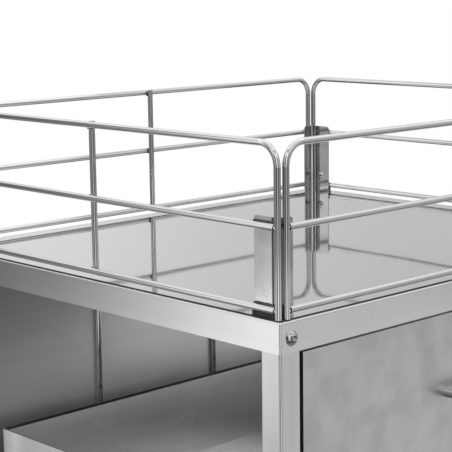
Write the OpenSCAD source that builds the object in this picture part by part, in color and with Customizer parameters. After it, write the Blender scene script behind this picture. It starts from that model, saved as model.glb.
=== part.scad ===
// Stainless steel shelf trolley: a railed top deck, one flush drawer in a bay that is open
// at both sides, and a lower shelf, all carried by four square posts on swivel castors.
// Millimetres. +Z is up and the drawer faces -Y. The floor is z = 0, and the origin is the
// middle of the footprint.

/* [Deck] */
// Width of the deck across its rim
deck_w = 600; // [520:5:700]
// Depth of the deck across its rim
deck_d = 528; // [460:4:600]
// Height of the rim's top face above the floor
deck_h = 830; // [760:5:900]
// Height of the folded rim
rim_h = 28.5; // [26:0.5:36]
// Width of the safe edge turned in under the rim
rim_return = 8; // [5:1:12]
// Thickness of the folded sheet
sheet_t = 1.2; // [0.8:0.1:1.5]
// Outer radius of the sheet's bends
bend_r = 1.8; // [1.6:0.1:3]
// Thickness of the polished plate laid on the deck
plate_t = 1; // [0.8:0.1:2]
// Margin from the rim's face to the polished plate
plate_margin = 3.5; // [3:0.5:6]
// Corner radius of the polished plate
plate_r = 2; // [1:0.5:6]

/* [Posts and rails of the frame] */
// Side of the square posts
post_w = 25; // [22:1:30]
// Wall of the square tubes
tube_wall = 1.5; // [1:0.1:2]
// Outer corner radius of the square tubes
tube_r = 2.5; // [2.1:0.1:3.5]
// Side of the square cross rails
rail_w = 25; // [20:1:30]
// Height of the lower shelf's face above the floor
shelf_h = 200; // [180:5:260]
// Width of a hat-shaped stiffener across its brims
hat_w = 60; // [50:2:80]
// Width of the stiffener's crown
hat_crown = 30; // [20:2:40]
// Depth of a stiffener
hat_h = 15; // [10:1:20]
// Gap between the two stiffeners of a pan, middle to middle
hat_spacing = 260; // [200:10:300]

/* [Frame screws] */
// Diameter of the frame screws
screw_d = 8; // [6:1:10]
// Diameter of a frame screw's button head
screw_head_d = 14; // [12:0.5:18]
// Height of a frame screw's button head
screw_head_h = 4.4; // [3:0.1:5.5]
// Length of a frame screw under its head
screw_len = 14; // [11:1:18]
// Depth of a frame screw below the top face of its pan
screw_drop = 15.5; // [13:0.5:17]
// Side of the square weld nuts
nut_w = 13; // [13:0.5:15]
// Thickness of the weld nuts
nut_t = 6.5; // [4:0.5:8]

/* [Guard rails] */
// Diameter of the rail wire
wire_d = 6.2; // [5:0.1:7]
// Height of the top wire's centre above the rim
rail_top = 153; // [120:1:200]
// Height of the middle wire's centre above the rim
rail_mid = 81; // [60:1:95]
// Height of the low wire's centre above the rim
rail_low = 8.5; // [8:0.5:14]
// Centre-line radius of the top corners
rail_bend = 20; // [12:1:30]
// Margin from the rim's face to the wires
wire_margin = 0.8; // [0.4:0.1:2]
// Distance of a side rail's end wire from the deck's front or rear face
side_end = 6.2; // [5:0.2:7]
// Distance of a front or rear rail's end wire from the deck's side face
front_end = 12; // [11:0.2:16]
// Depth that the lapped middle wire melts into the wires it crosses
weld_sink = 0.9; // [0.5:0.1:1.5]

/* [Corner brackets] */
// Thickness of a corner bracket
bracket_t = 1.5; // [1:0.1:2]
// Leg of a bracket along the side of the deck
leg_long = 31; // [26:1:38]
// Leg of a bracket along the front or rear of the deck
leg_short = 16.3; // [12:0.5:22]
// Height of a bracket's top edge above the rim
bracket_top = 89; // [80:1:100]
// Corner radius of a bracket's free upper corners
bracket_r = 3; // [1:0.5:5]
// Outer radius of a bracket's bend
bracket_bend = 10; // [2.2:0.1:11]
// Diameter of the bracket screws
bracket_screw_d = 6; // [4:0.5:6]
// Diameter of a bracket screw's button head
bracket_head_d = 11; // [8:0.5:12]
// Height of a bracket screw's button head
bracket_head_h = 3.3; // [2:0.1:4]
// Height of the bracket screws above the rim
bracket_screw_z = 21.5; // [18:0.5:30]
// Distance of the bracket screws from the deck's front or rear face
bracket_screw_y = 24; // [21:0.5:26]

/* [Drawer] */
// Gap between the drawer front and the rim or front rail
gap_z = 2.5; // [2:0.1:4]
// Gap between the drawer front and the posts
gap_x = 3; // [2:0.1:4]
// Height of the drawer front
front_h = 290; // [250:5:340]
// Depth of the folded drawer front
front_t = 18; // [14:1:22]
// Height of the drawer box's floor above the foot of the drawer front
box_lift = 11; // [6:1:20]
// Depth of the drawer box behind its front
box_d = 463; // [400:1:470]
// Drop from the rim's top face to the drawer box's top edge
box_drop = 210; // [190:2:230]
// Thickness of the rolled hem along the box's top edge
hem_t = 2.6; // [2:0.1:4]
// Height of the rolled hem
hem_h = 8; // [5:1:12]
// Overall width of the drawer handle
handle_w = 140; // [100:5:180]
// Diameter of the handle's rod
handle_d = 10; // [8:0.5:14]
// Distance from the drawer front to the handle rod's centre
handle_out = 26; // [22:1:34]
// Bend radius of the handle's corners
handle_bend = 14; // [10:1:20]
// Drop from the drawer front's top edge to the handle
handle_drop = 80; // [60:5:120]
// Diameter of the handle's screws
handle_screw_d = 5; // [4:0.5:6]

/* [Drawer slides] */
// Length of a closed slide
slide_len = 450; // [380:5:455]
// Height of a slide
slide_h = 45; // [35:1:46]
// Thickness of a slide between rail and box
slide_t = 12.7; // [12.7:0.1:14]
// Sheet thickness of the slide members
slide_wall = 1.2; // [1:0.1:1.4]
// Running gap between slide members
slide_gap = 0.3; // [0.2:0.05:0.5]

/* [Back of the bay] */
// Depth of the back panel's turned edge
back_edge = 8; // [5:0.5:10]
// Diameter of the upright rods in front of the back panel
rod_d = 6.2; // [5:0.1:8]
// Distance between the two upright rods
rod_spacing = 190; // [150:2:220]

/* [Castors] */
// Diameter of a wheel
wheel_d = 100; // [90:2:104]
// Width of the tyre
tyre_w = 26; // [22:1:30]
// Radial thickness of the tyre
tyre_t = 11; // [8:0.5:14]
// Diameter of the wheel's hub
hub_d = 26; // [22:1:30]
// Thickness of the wheel's web
web_t = 8; // [5:0.5:10]
// Number of ribs on each side of the web
rib_count = 8; // [5:1:12]
// Thickness of a rib
rib_t = 3; // [2:0.5:4]
// Depth that the ribs run into the hub and the rim
rib_seat = 1.5; // [0.5:0.1:2]
// Radius of the tyre's shoulders
tyre_r = 6; // [3:0.5:8]
// Trail of the wheel behind the swivel axis
trail = 34; // [30:1:38]
// Height from the floor to the top of the swivel head
castor_h = 118; // [118:1:126]
// Thickness of the fork's plate
fork_t = 2.5; // [2:0.1:3]
// Diameter of the wheel axle
axle_d = 8; // [6:0.5:10]
// Diameter of the swivel pin
king_d = 10; // [8:0.5:12]
// Diameter of the swivel head
head_d = 50; // [44:1:54]
// Diameter of the castor's stem
stem_d = 12; // [10:0.5:14]
// Length of the castor's stem
stem_len = 26; // [20:1:30]
// Thickness of the flange under each post
plug_flange = 3; // [2:0.5:4]
// Height of the plug inside each post
plug_h = 30; // [26:1:40]
// Clearance of a plug across its post's bore
plug_fit = 0.3; // [0.1:0.1:0.6]
// Radial running clearance of axles and pins
run_fit = 0.05; // [0.02:0.01:0.08]
// Side clearance of the parts that turn
side_fit = 0.3; // [0.2:0.05:0.5]

/* [Hidden] */
$fn = 48;
eps = 0.01;

// Finishes, as plain colours
polished = [0.80, 0.81, 0.82];
brushed = [0.66, 0.67, 0.68];
zinc = [0.58, 0.59, 0.60];
black = [0.07, 0.07, 0.08];
grey_nylon = [0.45, 0.46, 0.48];
grey_rubber = [0.22, 0.23, 0.25];

// Places of the posts and of the bay between them, measured from the deck's middle
post_x = deck_w / 2 - sheet_t - post_w / 2;
post_y = deck_d / 2 - sheet_t - post_w / 2;
bay_w = deck_w - 2 * (sheet_t + post_w);
bay_d = deck_d - 2 * (sheet_t + post_w);
post_top = deck_h - sheet_t;
post_foot = castor_h + plug_flange;

// Heights of the drawer and of the rails round it
front_top = deck_h - rim_h - gap_z;
front_foot = front_top - front_h;
low_rail_top = front_foot - gap_z;
box_top = deck_h - box_drop;
box_foot = front_foot + box_lift;
box_h = box_top - box_foot;
slide_z = box_top - box_h / 2;
box_w = bay_w - 2 * slide_t;
front_w = bay_w - 2 * gap_x;
box_front_y = sheet_t + front_t;

// The handle reaches further forward than the castor forks reach back, so the deck's middle
// lies a little behind the middle of the footprint
crown_d = head_d + 6;
front_reach = deck_d / 2 - sheet_t + handle_out + handle_d / 2;
rear_reach = max(post_y + crown_d / 2, deck_d / 2 + screw_head_h);
mid_y = (front_reach - rear_reach) / 2;

// Heights above the deck
plate_top = deck_h + plate_t;
wire_r = wire_d / 2;
wire_in = wire_margin + wire_r;
bracket_in = wire_margin + wire_d;
// A pad fills the height between the polished plate and the low wire, beside its bracket
pad_h = rail_low - wire_r - plate_t;

// Castor heights, worked out from the top of the swivel head down
wheel_r = wheel_d / 2;
head_t = 8.7;
crown_t = 3;
crown_top = castor_h - head_t - side_fit;
fork_in = tyre_w + 6;
core_r = wheel_r - tyre_t;
brake_x = trail + wheel_r * 0.78;
brake_z = wheel_r + wheel_r * 0.86;
brake_pin_d = 5;

// Corner signs of the four posts: front left, front right, rear left, rear right
CORNERS = [[-1, -1], [1, -1], [-1, 1], [1, 1]];

// Moves to the deck's middle at a height above the floor
module at_deck(z = 0) {
    translate([0, mid_y, z]) children();
}

// Copies a shape drawn for the front left corner to one corner by mirroring
module at_corner(sx, sy) {
    mirror([sx > 0 ? 1 : 0, 0, 0]) mirror([0, sy > 0 ? 1 : 0, 0]) children();
}

// Square with rounded corners, made from true arcs
module rounded_rect(w, d, r) {
    square([w - 2 * r, d], center = true);
    square([w, d - 2 * r], center = true);
    for (c = CORNERS) translate([c[0] * (w / 2 - r), c[1] * (d / 2 - r)]) circle(r);
}

// Square tube section
module tube_section(w) {
    difference() {
        rounded_rect(w, w, tube_r);
        rounded_rect(w - 2 * tube_wall, w - 2 * tube_wall, tube_r - tube_wall);
    }
}

// Block that hangs from z = 0, with its upper edges and its corners rounded
module soft_block(w, d, h, r) {
    body_h = h - r;
    translate([0, 0, -h]) linear_extrude(body_h) rounded_rect(w, d, r);
    translate([0, 0, -h / 2]) cube([w - 2 * r, d - 2 * r, h], center = true);
    for (sx = [-1, 1]) {
        translate([sx * (w / 2 - r), 0, -r])
            rotate([90, 0, 0]) cylinder(h = d - 2 * r, r = r, center = true);
    }
    for (sy = [-1, 1]) {
        translate([0, sy * (d / 2 - r), -r])
            rotate([0, 90, 0]) cylinder(h = w - 2 * r, r = r, center = true);
    }
    for (c = CORNERS) translate([c[0] * (w / 2 - r), c[1] * (d / 2 - r), -r]) sphere(r);
}

// Folded pan of the deck and the lower shelf: rim down all round, safe edge turned in,
// cut back at the posts, with clearance holes for the frame screws
module folded_pan(through) {
    hole_w = post_w + 0.4;
    difference() {
        soft_block(deck_w, deck_d, rim_h, bend_r);
        translate([0, 0, -sheet_t])
            soft_block(deck_w - 2 * sheet_t, deck_d - 2 * sheet_t,
                       rim_h - 2 * sheet_t, bend_r - sheet_t);
        translate([0, 0, -rim_h])
            cube([deck_w - 2 * (sheet_t + rim_return), deck_d - 2 * (sheet_t + rim_return),
                  4 * sheet_t], center = true);
        for (c = CORNERS) {
            translate([c[0] * (post_x - 0.1), c[1] * (post_y - 0.1), 0]) {
                translate([0, 0, -rim_h]) cube([hole_w, hole_w, 4 * sheet_t], center = true);
                if (through) cube([hole_w, hole_w, 4 * sheet_t], center = true);
            }
            translate([c[0] * post_x, c[1] * deck_d / 2, -screw_drop])
                rotate([90, 0, 0]) cylinder(h = 4 * sheet_t, d = screw_d + 0.4, center = true);
        }
    }
}

module deck_pan() {
    color(brushed) at_deck(deck_h) folded_pan(false);
}

module lower_shelf() {
    color(brushed) at_deck(shelf_h) folded_pan(true);
}

// Polished plate, with the corners of the pan left bare by the margin
module deck_plate() {
    color(polished) at_deck(deck_h) linear_extrude(plate_t)
        rounded_rect(deck_w - 2 * plate_margin, deck_d - 2 * plate_margin, plate_r);
}

// Section of a hat-shaped stiffener that hangs from y = 0
module hat_section() {
    side = (hat_w - hat_crown) / 2;
    for (s = [-1, 1]) {
        translate([s * (hat_w - side) / 2, -sheet_t / 2]) square([side, sheet_t], center = true);
        translate([s * (hat_crown - sheet_t) / 2, -hat_h / 2])
            square([sheet_t, hat_h], center = true);
    }
    translate([0, sheet_t / 2 - hat_h]) square([hat_crown, sheet_t], center = true);
}

// Four stiffeners, two under each pan, spot-welded to the sheet
module pan_stiffeners() {
    color(brushed) for (z = [deck_h, shelf_h], s = [-1, 1]) {
        at_deck(z - sheet_t) translate([0, s * hat_spacing / 2, 0])
            rotate([90, 0, 90])
                linear_extrude(deck_w - 2 * (sheet_t + post_w) - 4, center = true) hat_section();
    }
}

// Post with clearance holes for the frame screws in its outer face
module post(c) {
    color(brushed) at_deck() at_corner(c[0], c[1]) translate([-post_x, -post_y, 0]) {
        difference() {
            translate([0, 0, post_foot]) linear_extrude(post_top - post_foot)
                tube_section(post_w);
            for (z = [deck_h, shelf_h]) {
                translate([0, -post_w / 2, z - screw_drop]) rotate([90, 0, 0])
                    cylinder(h = 4 * tube_wall, d = screw_d + 0.4, center = true);
            }
        }
    }
}

// Button-head screw with a hex socket, drawn with its head on z = 0 and up
module button_screw(d, head_d, head_h, len) {
    dome_r = (head_d * head_d / 4 + head_h * head_h) / (2 * head_h);
    socket_w = d * 0.62;
    difference() {
        union() {
            intersection() {
                translate([0, 0, head_h - dome_r]) sphere(dome_r);
                cylinder(h = head_h, d = head_d);
            }
            translate([0, 0, -len]) cylinder(h = len + eps, d = d);
        }
        translate([0, 0, head_h * 0.4]) cylinder(h = head_h, d = socket_w / cos(30), $fn = 6);
    }
}

// Screws through the front and rear rims into the posts
module frame_screws() {
    color(zinc) at_deck() for (c = CORNERS, z = [deck_h, shelf_h]) {
        at_corner(c[0], c[1]) translate([-post_x, -deck_d / 2, z - screw_drop])
            rotate([90, 0, 0]) button_screw(screw_d, screw_head_d, screw_head_h, screw_len);
    }
}

// Square nuts welded inside the posts
module weld_nuts() {
    color(zinc) at_deck() for (c = CORNERS, z = [deck_h, shelf_h]) {
        at_corner(c[0], c[1])
            translate([-post_x, -post_y - post_w / 2 + tube_wall + nut_t / 2, z - screw_drop])
                rotate([90, 0, 0]) difference() {
                    cube([nut_w, nut_w, nut_t], center = true);
                    cylinder(h = 2 * nut_t, d = screw_d + 2 * run_fit, center = true);
                }
    }
}

// Welded rail frame in the XZ plane, from x = 0 to x = len, with its feet on the plate.
// The middle upright is lapped on the other wires, on the side that inward points to.
module guard_frame(len, inward) {
    foot = plate_top - deck_h;
    knee = rail_top - rail_bend;
    for (x = [0, len]) translate([x, 0, foot]) cylinder(h = knee - foot, d = wire_d);
    for (s = [0, 1]) {
        translate([s * len, 0, 0]) mirror([s, 0, 0])
            translate([rail_bend, 0, knee]) rotate([90, 0, 0])
                rotate([0, 0, 90]) rotate_extrude(angle = 90)
                    translate([rail_bend, 0]) circle(d = wire_d);
    }
    translate([rail_bend, 0, rail_top]) rotate([0, 90, 0])
        cylinder(h = len - 2 * rail_bend, d = wire_d);
    for (z = [rail_low, rail_mid]) translate([0, 0, z]) rotate([0, 90, 0])
        cylinder(h = len, d = wire_d);
    translate([len / 2, inward * (wire_d - weld_sink), rail_low - wire_r])
        cylinder(h = rail_top - rail_low + wire_d, d = wire_d);
}

// Rail along the front or the rear of the deck
module cross_guard(side) {
    len = deck_w - 2 * front_end;
    color(polished) at_deck(deck_h)
        translate([-len / 2, side * (deck_d / 2 - wire_in), 0]) guard_frame(len, -side);
}

// Rail along the left or the right side of the deck
module side_guard(side) {
    len = deck_d - 2 * side_end;
    color(polished) at_deck(deck_h)
        translate([side * (deck_w / 2 - wire_in), -len / 2, 0])
            rotate([0, 0, 90]) guard_frame(len, side);
}

// Upright sheet along +X with its free upper corner rounded. It starts beside the bend.
module bracket_leg(w, h) {
    flat = w - bracket_bend;
    translate([bracket_bend, 0, 0]) rotate([90, 0, 0]) translate([0, 0, -bracket_t])
        linear_extrude(bracket_t) {
            square([flat, h - bracket_r]);
            square([flat - bracket_r, h]);
            translate([flat - bracket_r, h - bracket_r]) circle(bracket_r);
        }
}

// Quarter bend that joins a bracket's two legs
module bracket_corner(h) {
    translate([bracket_bend, bracket_bend, 0]) intersection() {
        difference() {
            cylinder(h = h, r = bracket_bend);
            translate([0, 0, -h / 2]) cylinder(h = 2 * h, r = bracket_bend - bracket_t);
        }
        translate([-2 * bracket_bend, -2 * bracket_bend, -h / 2])
            cube([2 * bracket_bend, 2 * bracket_bend, 2 * h]);
    }
}

// Angle bracket that ties two rails together inside a corner and stands on the plate
module corner_bracket(c) {
    top = deck_h + bracket_top;
    h = top - plate_top;
    color(polished) at_deck() at_corner(c[0], c[1]) difference() {
        translate([bracket_in - deck_w / 2, bracket_in - deck_d / 2, plate_top]) {
            bracket_leg(leg_short, h);
            mirror([1, -1, 0]) bracket_leg(leg_long, h);
            bracket_corner(h);
        }
        translate([bracket_in - deck_w / 2, bracket_screw_y - deck_d / 2,
                   deck_h + bracket_screw_z])
            rotate([0, 90, 0])
                cylinder(h = 4 * bracket_t, d = bracket_screw_d + 2 * run_fit, center = true);
    }
}

// Button-head screws of the brackets, with their heads inside the rails
module bracket_screws() {
    face = bracket_in + bracket_t;
    color(zinc) at_deck(deck_h + bracket_screw_z) for (c = CORNERS) {
        at_corner(c[0], c[1])
            translate([face - deck_w / 2, bracket_screw_y - deck_d / 2, 0]) rotate([0, 90, 0])
                button_screw(bracket_screw_d, bracket_head_d, bracket_head_h, bracket_t);
    }
}

// Black pads that keep the low wires off the polished plate beside the brackets
module bracket_pads() {
    color(black) at_deck(plate_top) for (c = CORNERS) {
        at_corner(c[0], c[1])
            translate([plate_margin - deck_w / 2, bracket_in + wire_r - deck_d / 2, 0])
                cube([bracket_in - plate_margin, leg_long - wire_r, pad_h]);
    }
}

// Rail between the front and rear posts, which carries a drawer slide
module side_rail(side) {
    color(brushed) at_deck(slide_z) translate([side * post_x, 0, 0])
        rotate([90, 0, 0]) linear_extrude(bay_d, center = true) tube_section(rail_w);
}

// Rail between two posts, under the drawer front or the back panel
module cross_rail(side) {
    color(brushed) at_deck(low_rail_top - rail_w / 2) translate([0, side * post_y, 0])
        rotate([0, 90, 0]) linear_extrude(bay_w, center = true) tube_section(rail_w);
}

// Panel that closes the back of the bay, its edges turned out to the posts and its top
// edge against the rim's safe edge
module back_panel() {
    h = deck_h - rim_h - low_rail_top;
    inner = post_y + rod_d / 2;
    color(brushed) at_deck(low_rail_top) translate([0, inner, 0]) difference() {
        translate([-bay_w / 2, 0, 0]) cube([bay_w, back_edge, h]);
        translate([sheet_t - bay_w / 2, sheet_t, sheet_t])
            cube([bay_w - 2 * sheet_t, back_edge, h - 2 * sheet_t]);
    }
}

// Upright rods that stiffen the back panel
module back_rods() {
    color(polished) at_deck(low_rail_top) for (s = [-1, 1]) {
        translate([s * rod_spacing / 2, post_y, 0])
            cylinder(h = post_top - low_rail_top, d = rod_d);
    }
}

// Folded drawer front, open at the back, with holes for the handle's screws
module drawer_front() {
    color(brushed) at_deck(front_foot) translate([0, sheet_t - deck_d / 2, 0]) difference() {
        translate([-front_w / 2, 0, 0]) cube([front_w, front_t, front_h]);
        translate([sheet_t - front_w / 2, sheet_t, sheet_t])
            cube([front_w - 2 * sheet_t, front_t, front_h - 2 * sheet_t]);
        handle_holes(front_h, sheet_t);
    }
}

// Holes of the handle's screws through a wall that starts at y = 0
module handle_holes(top, wall) {
    for (s = [-1, 1]) {
        translate([s * (handle_w - handle_d) / 2, wall / 2, top - handle_drop])
            rotate([90, 0, 0])
                cylinder(h = 3 * wall, d = handle_screw_d + 2 * run_fit, center = true);
    }
}

// Drawer box. Its front wall is as tall as the drawer front and closes it, and the other
// walls end in a rolled hem
module drawer_box() {
    color(brushed) at_deck() translate([0, box_front_y - deck_d / 2, 0]) {
        translate([-front_w / 2, 0, front_foot]) cube([front_w, sheet_t, front_h]);
        difference() {
            translate([-box_w / 2, 0, box_foot]) cube([box_w, box_d, box_h]);
            translate([sheet_t - box_w / 2, sheet_t, box_foot + sheet_t])
                cube([box_w - 2 * sheet_t, box_d - 2 * sheet_t, box_h]);
        }
        difference() {
            translate([-box_w / 2, 0, box_top - hem_h]) cube([box_w, box_d, hem_h]);
            translate([hem_t - box_w / 2, sheet_t, box_top - 2 * hem_h])
                cube([box_w - 2 * hem_t, box_d - hem_t - sheet_t, 3 * hem_h]);
        }
    }
}

// Bow handle bent from round rod, with tapped ends on the drawer front
module drawer_handle() {
    span = handle_w - handle_d;
    rod_len = handle_out - handle_bend;
    color(polished) at_deck(front_top - handle_drop)
        translate([0, sheet_t - deck_d / 2, 0]) difference() {
            union() {
                for (s = [0, 1]) mirror([s, 0, 0]) {
                    translate([span / 2, 0, 0]) rotate([90, 0, 0])
                        cylinder(h = rod_len, d = handle_d);
                    translate([span / 2 - handle_bend, -rod_len, 0]) rotate([0, 0, -90])
                        rotate_extrude(angle = 90) translate([handle_bend, 0])
                            circle(d = handle_d);
                }
                translate([0, -handle_out, 0]) rotate([0, 90, 0])
                    cylinder(h = span - 2 * handle_bend, d = handle_d, center = true);
            }
            for (s = [-1, 1]) translate([s * span / 2, eps, 0]) rotate([90, 0, 0])
                cylinder(h = rod_len * 0.8, d = handle_screw_d + 2 * run_fit);
        }
}

// Screws that hold the handle from inside the drawer front
module handle_screws() {
    head_d = handle_screw_d * 1.8;
    head_h = handle_screw_d * 0.55;
    color(zinc) at_deck(front_top - handle_drop) for (s = [-1, 1]) {
        translate([s * (handle_w - handle_d) / 2, 2 * sheet_t - deck_d / 2, 0])
            rotate([-90, 0, 0])
                button_screw(handle_screw_d, head_d, head_h,
                             sheet_t + (handle_out - handle_bend) * 0.7);
    }
}

// Channel of a slide along +Y: web at x = web_x, flanges that reach to x = end_x
module slide_channel(len, half_h, web_x, start_x, end_x) {
    translate([web_x, 0, -half_h]) cube([slide_wall, len, 2 * half_h]);
    for (s = [-1, 1]) {
        translate([start_x, 0, s * (half_h - slide_wall / 2) - slide_wall / 2])
            cube([end_x - start_x, len, slide_wall]);
    }
}

// Half heights of the three nested slide members
outer_half = slide_h / 2;
middle_half = outer_half - slide_wall - slide_gap;
inner_half = middle_half - slide_wall - slide_gap;
middle_len = slide_len - 40;

// Places a slide member, drawn from the rail's face towards the box on the left side
module at_slide(side) {
    at_deck(slide_z) mirror([side > 0 ? 1 : 0, 0, 0])
        translate([-bay_w / 2, box_front_y + sheet_t - deck_d / 2, 0]) children();
}

module slide_outer(side) {
    color(zinc) at_slide(side)
        slide_channel(slide_len, outer_half, 0, 0, slide_t - 2 * slide_wall);
}

module slide_middle(side) {
    web_x = slide_wall + slide_gap;
    color(zinc) at_slide(side)
        slide_channel(middle_len, middle_half, web_x, web_x, slide_t - 2 * slide_wall);
}

module slide_inner(side) {
    start_x = 2 * (slide_wall + slide_gap);
    color(zinc) at_slide(side)
        slide_channel(slide_len, inner_half, slide_t - slide_wall, start_x, slide_t);
}

// Plugs with a flange, which close the posts and take the castor stems
module post_plugs() {
    bore_w = post_w - 2 * tube_wall - plug_fit;
    color(black) at_deck() for (c = CORNERS) {
        translate([c[0] * post_x, c[1] * post_y, 0]) difference() {
            union() {
                translate([0, 0, castor_h]) linear_extrude(plug_flange)
                    rounded_rect(post_w, post_w, tube_r);
                translate([0, 0, post_foot]) linear_extrude(plug_h - plug_flange)
                    rounded_rect(bore_w, bore_w, tube_r - tube_wall);
            }
            translate([0, 0, castor_h + plug_h / 2])
                cylinder(h = 2 * plug_h, d = stem_d + 2 * run_fit, center = true);
        }
    }
}

// Places a castor part, drawn with its swivel axis at the origin and its wheel towards +X
module at_castor(c) {
    at_deck() translate([c[0] * post_x, c[1] * post_y, 0])
        mirror([c[0] > 0 ? 1 : 0, 0, 0]) children();
}

// Swivel head: bearing cup, riveted swivel pin under it, and threaded stem above
module swivel_head(c) {
    cup_foot = castor_h - head_t;
    rivet_foot = crown_top - crown_t - side_fit - 3;
    king_r = king_d / 2;
    color(zinc) at_castor(c) rotate_extrude() {
        polygon([[0, rivet_foot], [king_r + 3, rivet_foot], [king_r + 3, rivet_foot + 3],
                 [king_r, rivet_foot + 3], [king_r, cup_foot], [head_d / 2, cup_foot],
                 [head_d / 2, cup_foot + 5], [head_d / 2 - 4, castor_h - 1],
                 [head_d / 2 - 6, castor_h], [stem_d / 2, castor_h],
                 [stem_d / 2, castor_h + stem_len - 1], [stem_d / 2 - 1, castor_h + stem_len],
                 [0, castor_h + stem_len]]);
    }
}

// Outline of a fork cheek, from the crown to the axle, with an arm for the brake pin
module cheek_outline(brake) {
    boss = 12;
    polygon([[-24, crown_top], [26, crown_top], [trail + 6, crown_top - 10],
             [trail + boss, wheel_r + 2], [trail - 4, wheel_r - boss + 2],
             [trail - boss, wheel_r + 2]]);
    translate([trail, wheel_r]) circle(boss);
    if (brake) {
        polygon([[20, crown_top], [brake_x - 4, brake_z + 6], [brake_x + 4, brake_z - 5],
                 [trail + boss - 1, wheel_r + 5], [trail - 6, wheel_r + 12]]);
        translate([brake_x, brake_z]) circle(7);
    }
}

// Fork: a crown round the swivel pin and two cheeks. Braked forks carry the brake's pin
module fork(c, brake) {
    color(zinc) at_castor(c) {
        difference() {
            union() {
                translate([0, 0, crown_top - crown_t]) cylinder(h = crown_t, d = crown_d);
                for (s = [-1, 1]) translate([0, s * (fork_in + fork_t) / 2, 0])
                    rotate([90, 0, 0]) linear_extrude(fork_t, center = true)
                        cheek_outline(brake);
            }
            translate([0, 0, crown_top - crown_t / 2])
                cylinder(h = 2 * crown_t, d = king_d + 2 * run_fit, center = true);
            translate([trail, 0, wheel_r]) rotate([90, 0, 0])
                cylinder(h = 2 * fork_in, d = axle_d + 2 * run_fit, center = true);
        }
        if (brake) translate([brake_x, 0, brake_z]) rotate([90, 0, 0])
            cylinder(h = fork_in + fork_t, d = brake_pin_d, center = true);
    }
}

// Axle bolt with a round head at one end and a nut at the other
module axle(c) {
    half = fork_in / 2 + fork_t;
    color(zinc) at_castor(c) translate([trail, 0, wheel_r]) rotate([90, 0, 0]) {
        cylinder(h = 2 * half + 5, d = axle_d, center = true);
        translate([0, 0, half]) cylinder(h = 3.5, d = axle_d * 1.7);
        translate([0, 0, -half - 5]) cylinder(h = 5, d = axle_d * 1.75, $fn = 6);
    }
}

// Wheel core: hub, ribbed web and a rim that carries the tyre
module wheel_core(c) {
    hub_r = hub_d / 2;
    half_hub = fork_in / 2 - side_fit;
    half_rim = tyre_w / 2 - 2;
    half_web = web_t / 2;
    rib_h = half_rim + half_web + 2;
    rim_in = core_r - 6;
    rib_in = hub_r - rib_seat;
    rib_out = rim_in + rib_seat;
    bore_r = axle_d / 2 + run_fit;
    color(grey_nylon) at_castor(c) translate([trail, 0, wheel_r]) rotate([90, 0, 0]) {
        rotate_extrude() polygon([
            [bore_r, -half_hub], [hub_r - 2, -half_hub], [hub_r, -half_hub + 3],
            [hub_r + 2, -half_web], [rim_in, -half_web], [rim_in + 2, -half_rim],
            [core_r, -half_rim], [core_r, half_rim], [rim_in + 2, half_rim],
            [rim_in, half_web], [hub_r + 2, half_web], [hub_r, half_hub - 3],
            [hub_r - 2, half_hub], [bore_r, half_hub]]);
        for (turn = [0 : rib_count - 1]) rotate([0, 0, turn * 360 / rib_count])
            translate([(rib_in + rib_out) / 2, 0, 0])
                cube([rib_out - rib_in, rib_t, rib_h], center = true);
    }
}

// Tyre with rounded shoulders
module tyre(c) {
    color(grey_rubber) at_castor(c) translate([trail, 0, wheel_r]) rotate([90, 0, 0])
        rotate_extrude() difference() {
            union() {
                translate([core_r - tyre_r, -tyre_w / 2])
                    square([tyre_t, tyre_w]);
                translate([core_r, tyre_r - tyre_w / 2])
                    square([tyre_t, tyre_w - 2 * tyre_r]);
                for (s = [-1, 1]) translate([wheel_r - tyre_r, s * (tyre_w / 2 - tyre_r)])
                    circle(tyre_r);
            }
            translate([0, -tyre_w]) square([core_r + run_fit, 2 * tyre_w]);
        }
}

// Brake pedal: a barrel on the fork's pin, a treadle outward and a shoe nose by the tyre
module brake_pedal(c) {
    barrel_r = 4.5;
    nose_r = 7.2;
    len = fork_in - 2 * side_fit;
    to_axle = atan2(brake_z - wheel_r, brake_x - trail) + 180;
    color(black) at_castor(c) translate([brake_x, 0, brake_z]) rotate([90, 0, 0]) difference() {
        union() {
            cylinder(h = len, r = barrel_r, center = true);
            rotate([0, 0, to_axle + 30]) translate([nose_r / 2, 0, 0])
                cube([nose_r, 3, len], center = true);
            linear_extrude(len, center = true)
                polygon([[0, 1], [1, 4.2], [24, 9], [36, 9], [37, 6.5], [24, 5.5], [3.6, 0.5]]);
        }
        cylinder(h = 2 * len, d = brake_pin_d + 2 * run_fit, center = true);
    }
}

deck_pan();
deck_plate();
pan_stiffeners();
lower_shelf();
post(CORNERS[0]);  // post_front_left
post(CORNERS[1]);  // post_front_right
post(CORNERS[2]);  // post_rear_left
post(CORNERS[3]);  // post_rear_right
frame_screws();
weld_nuts();
cross_guard(-1);  // guard_rail_front
cross_guard(1);  // guard_rail_rear
side_guard(-1);  // guard_rail_left
side_guard(1);  // guard_rail_right
corner_bracket(CORNERS[0]);  // bracket_front_left
corner_bracket(CORNERS[1]);  // bracket_front_right
corner_bracket(CORNERS[2]);  // bracket_rear_left
corner_bracket(CORNERS[3]);  // bracket_rear_right
bracket_screws();
bracket_pads();
side_rail(-1);  // side_rail_left
side_rail(1);  // side_rail_right
cross_rail(-1);  // front_rail
cross_rail(1);  // rear_rail
back_panel();
back_rods();
drawer_front();
drawer_box();
drawer_handle();
handle_screws();
slide_outer(-1);  // slide_outer_left
slide_outer(1);  // slide_outer_right
slide_middle(-1);  // slide_middle_left
slide_middle(1);  // slide_middle_right
slide_inner(-1);  // slide_inner_left
slide_inner(1);  // slide_inner_right
post_plugs();
swivel_head(CORNERS[0]);  // swivel_head_front_left
swivel_head(CORNERS[1]);  // swivel_head_front_right
swivel_head(CORNERS[2]);  // swivel_head_rear_left
swivel_head(CORNERS[3]);  // swivel_head_rear_right
fork(CORNERS[0], true);  // fork_front_left
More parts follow.
